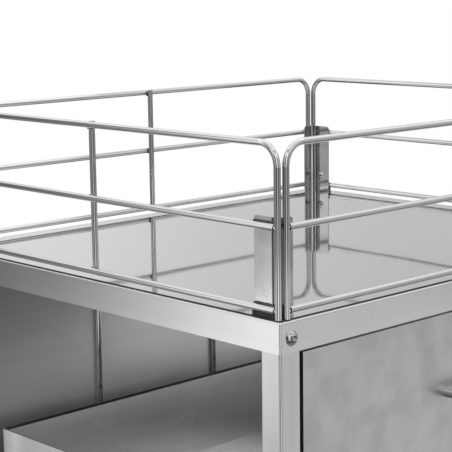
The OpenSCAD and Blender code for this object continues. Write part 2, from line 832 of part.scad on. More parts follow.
fork(CORNERS[1], true);  // fork_front_right
fork(CORNERS[2], false);  // fork_rear_left
fork(CORNERS[3], false);  // fork_rear_right
wheel_core(CORNERS[0]);  // wheel_core_front_left
wheel_core(CORNERS[1]);  // wheel_core_front_right
wheel_core(CORNERS[2]);  // wheel_core_rear_left
wheel_core(CORNERS[3]);  // wheel_core_rear_right
tyre(CORNERS[0]);  // tyre_front_left
tyre(CORNERS[1]);  // tyre_front_right
tyre(CORNERS[2]);  // tyre_rear_left
tyre(CORNERS[3]);  // tyre_rear_right
axle(CORNERS[0]);  // axle_front_left
axle(CORNERS[1]);  // axle_front_right
axle(CORNERS[2]);  // axle_rear_left
axle(CORNERS[3]);  // axle_rear_right
brake_pedal(CORNERS[0]);  // brake_pedal_front_left
brake_pedal(CORNERS[1]);  // brake_pedal_front_right
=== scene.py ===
"""Looks of a stainless steel shelf trolley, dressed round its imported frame. Units are metres."""

import logging
import math
import random
from dataclasses import dataclass
from enum import Enum

import bmesh
import bpy
from mathutils import Matrix, Vector


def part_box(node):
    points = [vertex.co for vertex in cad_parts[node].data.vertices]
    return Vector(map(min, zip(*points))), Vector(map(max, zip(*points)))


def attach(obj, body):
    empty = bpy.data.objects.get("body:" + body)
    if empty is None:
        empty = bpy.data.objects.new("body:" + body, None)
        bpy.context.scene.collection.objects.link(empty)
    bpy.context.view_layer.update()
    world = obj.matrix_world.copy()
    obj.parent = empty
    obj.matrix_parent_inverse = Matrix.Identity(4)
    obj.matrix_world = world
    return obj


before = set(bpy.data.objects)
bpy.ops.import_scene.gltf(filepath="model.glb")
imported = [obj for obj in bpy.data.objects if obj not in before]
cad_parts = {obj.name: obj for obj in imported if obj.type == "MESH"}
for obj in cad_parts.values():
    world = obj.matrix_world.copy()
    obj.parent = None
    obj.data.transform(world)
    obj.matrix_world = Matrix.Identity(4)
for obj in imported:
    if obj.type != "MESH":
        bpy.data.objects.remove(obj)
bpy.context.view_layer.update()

LOG = logging.getLogger("trolley")
MM = 0.001
X_AXIS, Y_AXIS, Z_AXIS = Vector((1, 0, 0)), Vector((0, 1, 0)), Vector((0, 0, 1))
WHITE = (1.0, 1.0, 1.0, 1.0)
BLACK = (0.0, 0.0, 0.0)
DUST_COLOUR = (0.42, 0.41, 0.39)

Triple = tuple[float, float, float]
Material = bpy.types.Material
Socket = bpy.types.NodeSocket


class Grain(Enum):
    """Way that a sheet was brushed, as the stretch of its noise along X, Y and Z."""

    NONE = (90.0, 90.0, 90.0)
    LEVEL = (4.0, 4.0, 620.0)
    ALONG_X = (5.0, 620.0, 620.0)
    ALONG_Y = (620.0, 5.0, 620.0)
    ALONG_Z = (620.0, 620.0, 5.0)


class Slot(Enum):
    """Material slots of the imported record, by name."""

    BRUSHED = "brushed"
    POLISHED = "polished"
    ZINC = "zinc"
    BLACK_METAL = "black_metal"
    BLACK_PLASTIC = "black_plastic"
    GREY_RUBBER = "grey_rubber"


class Corner(Enum):
    """The four corners, as the signs of X and Y."""

    FRONT_LEFT = (-1, -1)
    FRONT_RIGHT = (1, -1)
    REAR_LEFT = (-1, 1)
    REAR_RIGHT = (1, 1)

    @property
    def label(self) -> str:
        """Returns the corner's name as the nodes spell it."""
        return self.name.lower()

    @property
    def braked(self) -> bool:
        """Returns whether the castor at this corner has a brake."""
        return self.value[1] < 0


class Graph:
    """Adds nodes to one node tree and wires them.

    Args:
        tree: The node tree to fill. Nodes that it holds already are removed.
    """

    def __init__(self, tree: bpy.types.NodeTree) -> None:
        """Keeps the tree and empties it."""
        self.tree = tree
        tree.nodes.clear()

    def add(self, kind: str, **settings: object) -> bpy.types.Node:
        """Adds one node.

        Args:
            kind: Blender's name of the node type.
            settings: Properties of the node, such as its operation.

        Returns:
            The new node.
        """
        node = self.tree.nodes.new(kind)
        for key, value in settings.items():
            setattr(node, key, value)
        return node

    def wire(self, source: object, target: Socket) -> None:
        """Links a socket to a target, or sets the target to a plain value.

        Args:
            source: An output socket, or a number, colour or vector.
            target: The input socket.
        """
        if isinstance(source, Socket):
            self.tree.links.new(source, target)
        else:
            target.default_value = source

    def fed(self, kind: str, inputs: dict, output: str | int = 0, **settings: object) -> Socket:
        """Adds one node with its inputs wired.

        Args:
            kind: Blender's name of the node type.
            inputs: Sockets or plain values, by the input's name or number.
            output: Name or number of the output to return.
            settings: Properties of the node, such as its operation.

        Returns:
            The output's socket.
        """
        node = self.add(kind, **settings)
        for key, source in inputs.items():
            self.wire(source, node.inputs[key])
        return node.outputs[output]

    def math(self, operation: str, *inputs: object, clamp: bool = False) -> Socket:
        """Adds a Math node.

        Args:
            operation: Blender's name of the operation.
            inputs: Sockets or numbers, in order.
            clamp: Whether the result is kept between 0 and 1.

        Returns:
            The result's socket.
        """
        return self.fed("ShaderNodeMath", dict(enumerate(inputs)), operation=operation, use_clamp=clamp)

    def remap(self, value: object, low: float, high: float, to_low: float = 0.0,
              to_high: float = 1.0) -> Socket:
        """Maps a value from one range to another with soft ends.

        Args:
            value: Socket to map.
            low: Value that becomes to_low.
            high: Value that becomes to_high.
            to_low: Result at and under low.
            to_high: Result at and over high.

        Returns:
            The result's socket.
        """
        limits = {"Value": value, "From Min": low, "From Max": high, "To Min": to_low, "To Max": to_high}
        return self.fed("ShaderNodeMapRange", limits, "Result", interpolation_type="SMOOTHSTEP")

    def noise(self, vector: object, scale: object, detail: float) -> Socket:
        """Adds a noise texture.

        Args:
            vector: Coordinates' socket.
            scale: Scale, a socket or a number.
            detail: Number of octaves.

        Returns:
            The noise value's socket, from 0 to 1 about 0.5.
        """
        return self.fed("ShaderNodeTexNoise", {"Vector": vector, "Scale": scale, "Detail": detail}, "Fac")

    def stretched(self, vector: object, scale: object, turn: Triple = (0.0, 0.0, 0.0)) -> Socket:
        """Adds a Mapping node that turns and stretches coordinates.

        Args:
            vector: Coordinates' socket.
            scale: Stretch along X, Y and Z, a socket or numbers.
            turn: Rotation about X, Y and Z in radians.

        Returns:
            The new coordinates' socket.
        """
        return self.fed("ShaderNodeMapping", {"Vector": vector, "Scale": scale, "Rotation": turn}, "Vector")

    def part(self, vector: object, axis: str) -> Socket:
        """Returns the socket of a vector's X, Y or Z."""
        return self.fed("ShaderNodeSeparateXYZ", {"Vector": vector}, axis)

    def ramp(self, value: object, stops: list[tuple[float, float]]) -> Socket:
        """Adds a grey colour ramp.

        Args:
            value: Socket that picks the grey.
            stops: Positions from 0 to 1 with their greys.

        Returns:
            The colour's socket.
        """
        node = self.add("ShaderNodeValToRGB")
        self.wire(value, node.inputs["Fac"])
        elements = node.color_ramp.elements
        while len(elements) > 1:
            elements.remove(elements[0])
        elements[0].position = stops[0][0]
        elements[0].color = (stops[0][1],) * 3 + (1,)
        for position, grey in stops[1:]:
            elements.new(position).color = (grey,) * 3 + (1,)
        return node.outputs["Color"]


class SharedEffects:
    """Node groups that several finishes use, each built once."""

    BROAD_SCALE = 0.14  # scale of the broad streaks, where the fine brush lines have 1
    BROAD_HEIGHT = 0.35  # share of the broad streaks in the height
    BROAD_RANGE = (0.3, 0.7)  # noise between which the shade goes from none to full
    WIPE_STRETCH = (1.0, 0.6, 0.8)  # stretch of the wiped marks
    WIPE_TURN = (0.3, 0.5, 0.7)  # turn of the wiped marks
    WIPE_RANGE = (0.35, 0.72)  # noise between which they go from none to full
    HAIR_STRETCH = (900.0, 14.0, 900.0)  # stretch of the scratches
    HAIR_TURNS = ((0.2, 0.1, 0.5), (0.6, 1.1, 1.7), (1.3, 0.4, 2.6))  # their three directions
    HAIR_RANGE = (0.70, 0.76)  # noise between which they go from none to full
    DUST_SLOPE = (0.35, 0.95)  # upward share of the normal between which dust comes to lie
    DUST_SCALE = 70.0  # number of dust patches per metre
    DUST_RANGE = (0.35, 0.7, 0.15)  # noise between which dust goes from thin to full, and thin's level

    def __init__(self) -> None:
        """Builds every group."""
        self.grain = self._brushed_grain()
        self.ripple = self._sheet_ripple()
        self.marks = self._handling_marks()
        self.scratches = self._fine_scratches()
        self.dust = self._settled_dust()

    @staticmethod
    def _start(name: str, *outputs: str, **inputs: str) -> tuple[Graph, bpy.types.Node, bpy.types.Node]:
        """Starts a node group that takes coordinates as its input Vector.

        Args:
            name: The group's name.
            outputs: Names of the outputs, which are all values.
            inputs: Its other inputs with their socket types.

        Returns:
            The group's graph, its input node and its output node.
        """
        tree = bpy.data.node_groups.new(name, "ShaderNodeTree")
        for label, kind in {"Vector": "NodeSocketVector", **inputs}.items():
            tree.interface.new_socket(name=label, in_out="INPUT", socket_type=kind)
        for label in outputs:
            tree.interface.new_socket(name=label, in_out="OUTPUT", socket_type="NodeSocketFloat")
        graph = Graph(tree)
        return graph, graph.add("NodeGroupInput"), graph.add("NodeGroupOutput")

    def _brushed_grain(self) -> bpy.types.NodeTree:
        """Returns the group of brush lines: a fine height and a broad streaky shade."""
        graph, given, result = self._start("brushed_grain", "Height", "Shade", Stretch="NodeSocketVector")
        lines = graph.stretched(given.outputs["Vector"], given.outputs["Stretch"])
        fine = graph.noise(lines, 1.0, 4.0)
        broad = graph.noise(lines, self.BROAD_SCALE, 2.0)
        graph.wire(graph.math("MULTIPLY_ADD", broad, self.BROAD_HEIGHT, fine), result.inputs["Height"])
        graph.wire(graph.remap(broad, *self.BROAD_RANGE), result.inputs["Shade"])
        return graph.tree

    def _sheet_ripple(self) -> bpy.types.NodeTree:
        """Returns the group of the slow waves that thin sheet keeps after folding."""
        graph, given, result = self._start("sheet_ripple", "Height", Scale="NodeSocketFloat")
        slow = graph.noise(given.outputs["Vector"], given.outputs["Scale"], 1.0)
        graph.wire(slow, result.inputs["Height"])
        return graph.tree

    def _handling_marks(self) -> bpy.types.NodeTree:
        """Returns the group of cloudy marks that hands and wiping leave."""
        graph, given, result = self._start("handling_marks", "Mask", Scale="NodeSocketFloat")
        wiped = graph.stretched(given.outputs["Vector"], self.WIPE_STRETCH, self.WIPE_TURN)
        clouds = graph.noise(wiped, given.outputs["Scale"], 5.0)
        graph.wire(graph.remap(clouds, *self.WIPE_RANGE), result.inputs["Mask"])
        return graph.tree

    def _fine_scratches(self) -> bpy.types.NodeTree:
        """Returns the group of hairline scratches in three directions."""
        graph, given, result = self._start("fine_scratches", "Mask")
        total: object = 0.0
        for turn in self.HAIR_TURNS:
            hairs = graph.noise(graph.stretched(given.outputs["Vector"], self.HAIR_STRETCH, turn), 1.0, 1.0)
            total = graph.math("ADD", total, graph.remap(hairs, *self.HAIR_RANGE))
        graph.wire(graph.math("MINIMUM", total, 1.0), result.inputs["Mask"])
        return graph.tree

    def _settled_dust(self) -> bpy.types.NodeTree:
        """Returns the group of dust on faces that look up."""
        graph, given, result = self._start("settled_dust", "Mask")
        normal = graph.add("ShaderNodeNewGeometry").outputs["Normal"]
        lying = graph.remap(graph.part(normal, "Z"), *self.DUST_SLOPE)
        patchy = graph.remap(graph.noise(given.outputs["Vector"], self.DUST_SCALE, 6.0), *self.DUST_RANGE)
        graph.wire(graph.math("MULTIPLY", lying, patchy), result.inputs["Mask"])
        return graph.tree


class Surface:
    """One material under construction: a Principled shader and the nodes that feed it.

    Args:
        name: The material's name.
    """

    def __init__(self, name: str) -> None:
        """Makes the material with its shader, output and coordinates."""
        self.material = bpy.data.materials.new(name)
        self.material.use_nodes = True
        self.graph = Graph(self.material.node_tree)
        self.shader = self.graph.add("ShaderNodeBsdfPrincipled")
        output = self.graph.add("ShaderNodeOutputMaterial")
        self.graph.wire(self.shader.outputs["BSDF"], output.inputs["Surface"])
        self.place = self.graph.add("ShaderNodeTexCoord").outputs["Object"]
        self.normal: object = None

    def effect(self, tree: bpy.types.NodeTree, output: str, **inputs: object) -> Socket:
        """Places one shared node group.

        Args:
            tree: The group.
            output: Name of the output to return.
            inputs: Values of its inputs besides the coordinates.

        Returns:
            The output's socket.
        """
        return self.graph.fed("ShaderNodeGroup", {"Vector": self.place, **inputs}, output, node_tree=tree)

    def soften_edges(self, radius: float) -> None:
        """Rounds the shading of sharp edges by a radius."""
        self.normal = self.graph.fed("ShaderNodeBevel", {"Radius": radius}, "Normal", samples=4)

    def bump(self, height: Socket, depth: float) -> None:
        """Adds a bump over the ones before it.

        Args:
            height: Height's socket, from 0 to 1.
            depth: Depth of the bump in metres.
        """
        inputs = {"Strength": 1.0, "Distance": depth, "Height": height}
        if self.normal is not None:
            inputs["Normal"] = self.normal
        self.normal = self.graph.fed("ShaderNodeBump", inputs, "Normal")

    def colour_between(self, mask: Socket, first: Triple, second: Triple) -> Socket:
        """Mixes two colours by a mask.

        Args:
            mask: Mask's socket, from 0 to 1.
            first: Colour where the mask is 0.
            second: Colour where the mask is 1.

        Returns:
            The colour's socket.
        """
        inputs = {"Factor": mask, 6: (*first, 1.0), 7: (*second, 1.0)}
        return self.graph.fed("ShaderNodeMix", inputs, 2, data_type="RGBA")

    def finish(self, colour: Socket, roughness: Socket, metallic: object) -> Material:
        """Feeds the shader.

        Args:
            colour: Colour's socket.
            roughness: Roughness's socket.
            metallic: Share that mirrors as metal, a socket or a number.

        Returns:
            The finished material.
        """
        inputs = {"Base Color": colour, "Roughness": roughness, "Metallic": metallic}
        if self.normal is not None:
            inputs["Normal"] = self.normal
        for name, source in inputs.items():
            self.graph.wire(source, self.shader.inputs[name])
        return self.material


@dataclass(frozen=True)
class Finish:
    """What every finish has.

    Attributes:
        name: The material's name.
        colour: Colour of the clean surface, as linear red, green and blue.
        roughness: Roughness of the clean surface.
    """

    name: str
    colour: Triple = (0.600, 0.604, 0.608)
    roughness: float = 0.2


@dataclass(frozen=True)
class SteelFinish(Finish):
    """Stainless steel sheet, tube or wire.

    Attributes:
        grain: Way that it was brushed.
        grain_depth: Depth of the brush lines.
        streaks: Share by which streaks darken the colour.
        ripple_scale: Number of slow waves per metre.
        ripple_depth: Depth of the slow waves.
        marks: Roughness that handling adds.
        mark_scale: Number of the handling's marks per metre.
        scratches: Roughness that hairline scratches add.
        edge: Radius of the edges' softening, or 0.
        metallic: Share of the surface that mirrors as metal. The rest is dull.
        clouds: Share by which cloudy patches darken the colour.
        cloud_scale: Number of cloudy patches per metre.
        bow: Curvature of a bowed sheet, per metre.
        bow_z: Height at which a bowed sheet stands upright.
    """

    grain: Grain = Grain.NONE
    grain_depth: float = 0.0
    streaks: float = 0.0
    ripple_scale: float = 6.0
    ripple_depth: float = 0.0
    marks: float = 0.03
    mark_scale: float = 9.0
    scratches: float = 0.0
    edge: float = 0.0
    metallic: float = 1.0
    clouds: float = 0.0
    cloud_scale: float = 60.0
    bow: float = 0.0
    bow_z: float = 0.0

    def make(self, effects: SharedEffects) -> Material:
        """Builds the material with the shared node groups."""
        surface = Surface(self.name)
        graph = surface.graph
        if self.edge > 0:
            surface.soften_edges(self.edge)
        if self.ripple_depth > 0:
            waves = surface.effect(effects.ripple, "Height", Scale=self.ripple_scale)
            surface.bump(waves, self.ripple_depth)
        if self.bow > 0:
            rise = graph.math("SUBTRACT", graph.part(surface.place, "Z"), self.bow_z)
            surface.bump(graph.math("MULTIPLY", graph.math("MULTIPLY", rise, rise), -self.bow / 2), 1.0)
        streaks = surface.effect(effects.grain, "Shade", Stretch=self.grain.value)
        shade = graph.math("MULTIPLY", streaks, self.streaks)
        if self.clouds > 0:
            patches = surface.effect(effects.marks, "Mask", Scale=self.cloud_scale)
            shade = graph.math("MULTIPLY_ADD", patches, self.clouds, shade)
        colour = surface.colour_between(shade, self.colour, BLACK)
        if self.grain_depth > 0:
            lines = surface.effect(effects.grain, "Height", Stretch=self.grain.value)
            surface.bump(lines, self.grain_depth)
        worn = surface.effect(effects.marks, "Mask", Scale=self.mark_scale)
        rough = graph.math("MULTIPLY_ADD", worn, self.marks, self.roughness)
        if self.scratches > 0:
            hair = surface.effect(effects.scratches, "Mask")
            rough = graph.math("MULTIPLY_ADD", hair, self.scratches, rough)
        return surface.finish(colour, rough, self.metallic)


@dataclass(frozen=True)
class PlatedFinish(Finish):
    """Zinc-plated or heat-tinted metal with a cloudy, patchy surface.

    Attributes:
        patch: Colour of the dull patches.
        patch_scale: Number of patches per metre.
        patch_rough: Roughness that a dull patch adds.
        dust: Share of dust on faces that look up.
        dust_rough: Roughness that dust adds.
        edge: Radius of the edges' softening.
        pit_scale: Number of pits per metre.
        pit_depth: Depth of the pits.
    """

    patch: Triple = BLACK
    patch_scale: float = 120.0
    patch_rough: float = 0.14
    dust: float = 0.0
    dust_rough: float = 0.5
    edge: float = 0.0004
    pit_scale: float = 900.0
    pit_depth: float = 0.00002

    def make(self, effects: SharedEffects) -> Material:
        """Builds the material with the shared node groups."""
        surface = Surface(self.name)
        graph = surface.graph
        surface.soften_edges(self.edge)
        patches = surface.effect(effects.marks, "Mask", Scale=self.patch_scale)
        colour = surface.colour_between(patches, self.colour, self.patch)
        rough = graph.math("MULTIPLY_ADD", patches, self.patch_rough, self.roughness)
        metal: object = 1.0
        if self.dust > 0:
            film = graph.math("MULTIPLY", surface.effect(effects.dust, "Mask"), self.dust)
            rough = graph.math("MULTIPLY_ADD", film, self.dust_rough, rough)
            metal = graph.math("SUBTRACT", 1.0, film)
        surface.bump(graph.noise(surface.place, self.pit_scale, 2.0), self.pit_depth)
        return surface.finish(colour, rough, metal)


@dataclass(frozen=True)
class MouldedFinish(Finish):
    """Plastic, rubber or powder coat: a dull colour with a pebbled skin.

    Attributes:
        pebble_scale: Number of pebbles per metre.
        pebble_depth: Depth of the pebbles.
        dust: Share of dust on faces that look up.
        scuff: Share by which scuffs brighten the colour.
        cloud_scale: Number of cloudy patches per metre.
        cloud: Share by which such a patch brightens the colour.
        cloud_rough: Roughness that such a patch adds.
        edge: Radius of the edges' softening.
    """

    pebble_scale: float = 1400.0
    pebble_depth: float = 0.00004
    dust: float = 0.12
    scuff: float = 0.25
    cloud_scale: float = 22.0
    cloud: float = 0.06
    cloud_rough: float = 0.12
    edge: float = 0.0005

    def make(self, effects: SharedEffects) -> Material:
        """Builds the material with the shared node groups."""
        surface = Surface(self.name)
        graph = surface.graph
        surface.soften_edges(self.edge)
        film = graph.math("MULTIPLY", surface.effect(effects.dust, "Mask"), self.dust)
        hair = surface.effect(effects.scratches, "Mask")
        patches = surface.effect(effects.marks, "Mask", Scale=self.cloud_scale)
        lift = graph.math("MULTIPLY_ADD", hair, self.scuff, film)
        lift = graph.math("MULTIPLY_ADD", patches, self.cloud, lift, clamp=True)
        colour = surface.colour_between(lift, self.colour, DUST_COLOUR)
        surface.bump(graph.noise(surface.place, self.pebble_scale, 3.0), self.pebble_depth)
        rough = graph.math("MULTIPLY_ADD", patches, self.cloud_rough, self.roughness)
        return surface.finish(colour, graph.math("ADD", rough, film, clamp=True), 0.0)


class Finishes:
    """Every finish of the trolley, made once each.

    Args:
        effects: The shared node groups.
    """

    def __init__(self, effects: SharedEffects) -> None:
        """Makes the materials."""
        self.deck_mirror = SteelFinish(
            "mirror_deck_steel", roughness=0.035, ripple_scale=5.0, ripple_depth=0.0003,
            marks=0.02, scratches=0.04).make(effects)
        self.rim = SteelFinish(
            "satin_rim_steel", roughness=0.15, grain=Grain.LEVEL, grain_depth=0.000002, streaks=0.03,
            ripple_scale=3.0, ripple_depth=0.0003, scratches=0.02).make(effects)
        self.post = SteelFinish(
            "brushed_post_steel", grain=Grain.ALONG_Z, grain_depth=0.000004, streaks=0.05,
            marks=0.04, scratches=0.02).make(effects)
        self.tube_along_x, self.tube_along_y = (
            SteelFinish(name, roughness=0.24, grain=grain, grain_depth=0.000005, streaks=0.05,
                        marks=0.05).make(effects)
            for name, grain in (("brushed_cross_rail_steel", Grain.ALONG_X),
                                ("brushed_side_rail_steel", Grain.ALONG_Y)))
        self.wire = SteelFinish(
            "polished_wire_steel", (0.54, 0.544, 0.548), 0.035, streaks=0.04,
            scratches=0.03).make(effects)
        # painted shade: a darker colour than the rim's and the wire's steel, for the duller look that the
        # light gives the brackets
        self.bracket = SteelFinish(
            "painted_shade_bracket_steel", (0.42, 0.423, 0.426), 0.06, ripple_scale=24.0,
            ripple_depth=0.0002, marks=0.05, scratches=0.03, edge=0.0003, clouds=0.25,
            cloud_scale=38.0).make(effects)
        self.front = SteelFinish(
            "mottled_front_steel", (0.58, 0.583, 0.586), 0.27, grain=Grain.LEVEL, grain_depth=0.000001,
            streaks=0.03, ripple_scale=14.0, ripple_depth=0.0002, marks=0.06, scratches=0.02,
            edge=0.0006, clouds=0.16, cloud_scale=32.0).make(effects)
        # painted light: a lighter colour than the rest of the steel, so that the drawer box deep in the
        # shaded bay looks bright
        self.inner_sheet = SteelFinish(
            "dull_bay_steel_painted_light", (0.78, 0.783, 0.786), 0.26, grain=Grain.LEVEL, grain_depth=0.000002,
            streaks=0.04, ripple_scale=4.0, ripple_depth=0.0004, marks=0.04, edge=0.0005,
            metallic=0.85, bow=1.3, bow_z=0.50).make(effects)
        # painted light: a lighter colour than the rest of the steel, so that the back panel deep in the
        # shaded bay looks bright
        self.back_sheet = SteelFinish(
            "satin_back_steel_painted_light", (0.72, 0.723, 0.726), 0.30, grain=Grain.LEVEL, grain_depth=0.000002,
            streaks=0.04, ripple_scale=4.0, ripple_depth=0.0005, marks=0.04, metallic=0.8, bow=0.8,
            bow_z=0.48).make(effects)
        self.screw = SteelFinish(
            "bright_screw_steel", (0.44, 0.443, 0.446), 0.11, streaks=0.10, marks=0.08,
            edge=0.0003).make(effects)
        self.zinc = PlatedFinish(
            "bright_zinc", (0.60, 0.61, 0.63), 0.30, (0.53, 0.54, 0.555), 150.0,
            dust=0.06).make(effects)
        self.tint = PlatedFinish(
            "heat_tinted_weld", (0.36, 0.345, 0.33), 0.34, (0.15, 0.15, 0.17), 420.0,
            edge=0.0002).make(effects)
        self.burnt = PlatedFinish(
            "burnt_weld", (0.11, 0.11, 0.115), 0.30, (0.035, 0.035, 0.04), 300.0,
            edge=0.0002).make(effects)
        self.black_coat = MouldedFinish(
            "black_powder_coat", (0.022, 0.022, 0.024), 0.42, 900.0, 0.00005).make(effects)
        self.black_plastic = MouldedFinish(
            "black_moulding", (0.018, 0.018, 0.020), 0.48, 1600.0, 0.00003, dust=0.06).make(effects)
        # painted shadow: dark strips that stand for the shade along the mirror plate's edge and the drawer
        # box's rear hem
        self.joint = MouldedFinish(
            "painted_shadow_strip", (0.030, 0.030, 0.032), 0.62, 1800.0, 0.00003, dust=0.03).make(effects)
        self.nylon = MouldedFinish(
            "grey_nylon", (0.24, 0.25, 0.265), 0.42, 1100.0, dust=0.10).make(effects)
        self.rubber = MouldedFinish(
            "grey_rubber", (0.090, 0.094, 0.100), 0.68, 700.0, 0.00008, dust=0.16,
            scuff=0.35).make(effects)


def dress(material: Material, *nodes: str) -> None:
    """Gives CAD nodes a material.

    Args:
        material: The material.
        nodes: Names of the nodes.
    """
    for name in nodes:
        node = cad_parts[name]
        if not node.material_slots:
            node.data.materials.append(material)
        for place in node.material_slots:
            place.material = material
        LOG.info("dressed %s with %s", name, material.name)


def add_object(name: str, data: bpy.types.ID) -> bpy.types.Object:
    """Adds an object to the scene.

    Args:
        name: The object's name.
        data: Its mesh, light or camera.

    Returns:
        The new object.
    """
    made = bpy.data.objects.new(name, data)
    bpy.context.scene.collection.objects.link(made)
    return made


def turned(origin: Vector, normal: Vector) -> Matrix:
    """Returns the matrix that puts a shape's origin at a point and its Z axis along a normal."""
    return Matrix.Translation(origin) @ normal.to_track_quat("Z", "Y").to_matrix().to_4x4()


def edges_of(verts: list[bmesh.types.BMVert]) -> list[bmesh.types.BMEdge]:
    """Returns the edges that touch the given vertices, always in the same order."""
    return list(dict.fromkeys(edge for vert in verts for edge in vert.link_edges))


class Builder:
    """A mesh under construction, with the few shapes that the small pieces are made of."""

    RING_SIDES = 8  # sides of a ring's bead
    RING_STEPS = 22  # steps round a ring
    RING_WAVES = 5  # waves in an uneven ring's thickness
    RING_JITTER = 0.4  # size of its random wander beside those waves
    BLOB_SIDES = 12  # sides of a bead of weld
    BLOB_RINGS = 7  # rings of a bead of weld
    SEAM_PITCH = 0.9  # distance from bead to bead, in half widths
    SEAM_SIZES = (0.85, 1.1)  # smallest and largest bead of a seam
    DISC_SIDES = 20  # sides of a disc
    DISC_BEVEL = 0.3  # bevel of a disc, as a share of its thickness
    SHARP_ANGLE = math.radians(38)  # angle from which an edge is shaded sharp

    def __init__(self, seed: int = 0) -> None:
        """Starts an empty mesh with its own seeded random numbers."""
        self.mesh = bmesh.new()
        self.random = random.Random(seed)

    def ring(self, centre: Vector, axis: Vector, radius: float, bead: float, uneven: float = 0.0) -> None:
        """Adds a torus round an axis.

        Args:
            centre: Middle of the ring.
            axis: Axis of the ring, of length 1.
            radius: Radius to the middle of the bead.
            bead: Radius of the bead.
            uneven: Share by which the bead's thickness wanders.
        """
        side = axis.orthogonal().normalized()
        start = turned(centre + side * radius, axis.cross(side))
        made = bmesh.ops.create_circle(self.mesh, segments=self.RING_SIDES, radius=bead,
                                       matrix=start)["verts"]
        before = set(self.mesh.verts) - set(made)
        bmesh.ops.spin(self.mesh, geom=made + edges_of(made), cent=centre, axis=axis, dvec=(0, 0, 0),
                       angle=2 * math.pi, steps=self.RING_STEPS, use_merge=True, use_duplicate=False)
        if uneven <= 0:
            return
        phase = self.random.uniform(0, math.tau)
        for vert in [vert for vert in self.mesh.verts if vert not in before]:
            spoke = vert.co - centre
            flat = (spoke - axis * spoke.dot(axis)).normalized()
            turn = math.atan2(flat.dot(axis.cross(side)), flat.dot(side))
            jitter = self.random.uniform(-uneven, uneven) * self.RING_JITTER
            swell = uneven * math.sin(self.RING_WAVES * turn + phase) + jitter
            middle = centre + flat * radius
            vert.co = middle + (vert.co - middle) * (1 + swell)

    def blob(self, centre: Vector, axis: Vector, up: Vector, half: Triple) -> None:
        """Adds one rounded bead of weld.

        Args:
            centre: Middle of the bead.
            axis: Direction of its length, of length 1.
            up: Direction of its height, square to axis.
            half: Half its length, width and height.
        """
        basis = Matrix((axis, up.cross(axis), up)).transposed().to_4x4()
        bmesh.ops.create_uvsphere(
            self.mesh, u_segments=self.BLOB_SIDES, v_segments=self.BLOB_RINGS, radius=1.0,
            matrix=Matrix.Translation(centre) @ basis @ Matrix.Diagonal((*half, 1.0)))

    def seam(self, start: Vector, end: Vector, up: Vector, width: float, height: float) -> None:
        """Adds a weld seam as a row of overlapping beads.

        Args:
            start: First end of the seam.
            end: Last end of the seam.
            up: Direction in which the seam stands out from the welded parts.
            width: Half width of the seam.
            height: Half height of the seam.
        """
        way = end - start
        count = max(2, round(way.length / (width * self.SEAM_PITCH)))
        for step in range(count + 1):
            size = self.random.uniform(*self.SEAM_SIZES)
            self.blob(start + way * (step / count), way.normalized(), up,
                      (width * size, width * size, height * size))

    def disc(self, centre: Vector, axis: Vector, radius: float, depth: float) -> None:
        """Adds a flat round disc with bevelled edges.

        Args:
            centre: Middle of the disc.
            axis: Axis of the disc, of length 1.
            radius: Its radius.
            depth: Its thickness.
        """
        made = bmesh.ops.create_cone(self.mesh, cap_ends=True, segments=self.DISC_SIDES, radius1=radius,
                                     radius2=radius, depth=depth, matrix=turned(centre, axis))["verts"]
        rims = [edge for edge in edges_of(made) if any(len(face.verts) > 4 for face in edge.link_faces)]
        bmesh.ops.bevel(self.mesh, geom=rims, affect="EDGES", offset=depth * self.DISC_BEVEL,
                        offset_type="OFFSET", segments=2, profile=0.5, material=-1)

    def block(self, low: Vector, high: Vector, radius: float) -> None:
        """Adds a block with rounded edges.

        Args:
            low: Its lowest corner.
            high: Its highest corner.
            radius: Radius of its edges.
        """
        place = Matrix.Translation((low + high) / 2) @ Matrix.Diagonal((*(high - low), 1.0))
        made = bmesh.ops.create_cube(self.mesh, size=1.0, matrix=place)["verts"]
        bmesh.ops.bevel(self.mesh, geom=edges_of(made), affect="EDGES", offset=radius,
                        offset_type="OFFSET", segments=3, profile=0.5, material=-1)

    def piece(self, name: str, body: str, material: Material) -> None:
        """Makes the mesh a piece of the trolley.

        Args:
            name: The piece's name.
            body: CAD body that it moves with.
            material: Its material.
        """
        bmesh.ops.recalc_face_normals(self.mesh, faces=self.mesh.faces)
        mesh = bpy.data.meshes.new(name)
        self.mesh.to_mesh(mesh)
        self.mesh.free()
        mesh.shade_smooth()
        mesh.set_sharp_from_angle(angle=self.SHARP_ANGLE)
        mesh.materials.append(material)
        made = add_object(name, mesh)
        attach(made, body)
        LOG.info("built %s on %s with %d faces", name, body, len(mesh.polygons))


@dataclass
class Group:
    """A sub-assembly of the trolley.

    Attributes:
        finishes: The trolley's finishes.
    """

    finishes: Finishes


